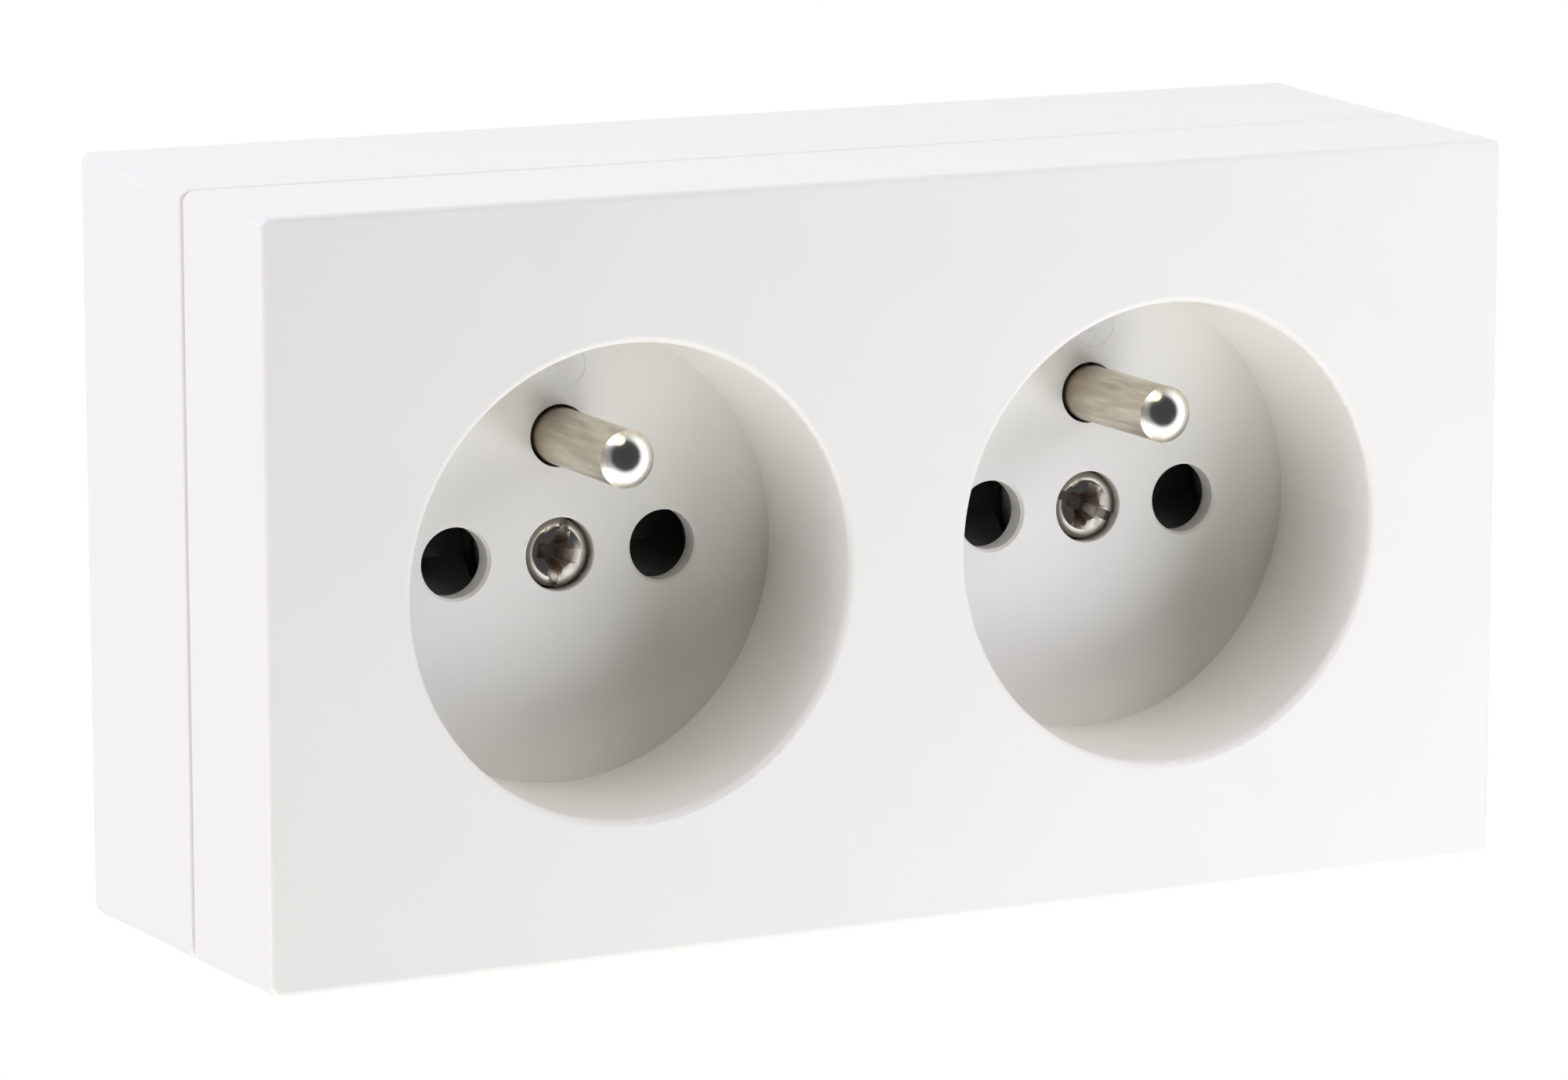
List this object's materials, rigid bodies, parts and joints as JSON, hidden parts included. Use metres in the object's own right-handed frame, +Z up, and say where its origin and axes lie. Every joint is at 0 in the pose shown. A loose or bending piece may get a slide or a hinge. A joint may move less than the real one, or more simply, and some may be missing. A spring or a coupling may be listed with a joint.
{
  "type": "surface-mounted double socket",
  "caption": "Surface-mounted double wall socket with round wells, projecting earth pins, shuttered pin holes, a screwed front cover and a rear wall box.",
  "frame": {"origin": "middle of the flat wall face, between the two sockets", "axes": "+X right as seen from the front, +Y into the wall, +Z up towards the earth pins"},
  "size_m": [0.1158, 0.0382, 0.0652],
  "materials": {
    "housing": "white moulded plastic, satin to gloss, faintly textured",
    "base": "grey moulded plastic, matt",
    "shutter": "black moulded plastic, glossy",
    "brass": "stamped and turned brass, plain",
    "nickel": "nickel plate, satin shank and polished tip",
    "steel": "zinc-plated steel"
  },
  "bodies": {
    "housing": {"front_cover": "housing", "wall_box": "housing", "socket_base": "base", "live_busbar": "brass", "neutral_busbar": "brass", "earth_busbar": "brass", "live_terminal": "brass", "neutral_terminal": "brass", "earth_terminal": "brass", "live_terminal_screw": "steel", "neutral_terminal_screw": "steel", "earth_terminal_screw": "steel", "live_contact_left": "brass", "neutral_contact_left": "brass", "earth_pin_left": "nickel", "cover_screw_left": "nickel", "threaded_insert_left": "brass", "base_screw_left": "steel", "contact_cover_left": "base", "shutter_spring_left": "steel", "live_contact_right": "brass", "neutral_contact_right": "brass", "earth_pin_right": "nickel", "cover_screw_right": "nickel", "threaded_insert_right": "brass", "base_screw_right": "steel", "contact_cover_right": "base", "shutter_spring_right": "steel"},
    "left_shutter": {"shutter_left": "shutter"},
    "right_shutter": {"shutter_right": "shutter"}
  },
  "joints": [
    {"name": "left_shutter_slide", "type": "slide", "parent": "housing", "child": "left_shutter", "axis": [0, 0, -1], "range_m": [0, 0.0066], "stiffness_N_per_m": 60, "springref_m": -0.004, "deforming": ["shutter_spring_left"]},
    {"name": "right_shutter_slide", "type": "slide", "parent": "housing", "child": "right_shutter", "axis": [0, 0, -1], "range_m": [0, 0.0066], "stiffness_N_per_m": 60, "springref_m": -0.004, "deforming": ["shutter_spring_right"]}
  ]
}
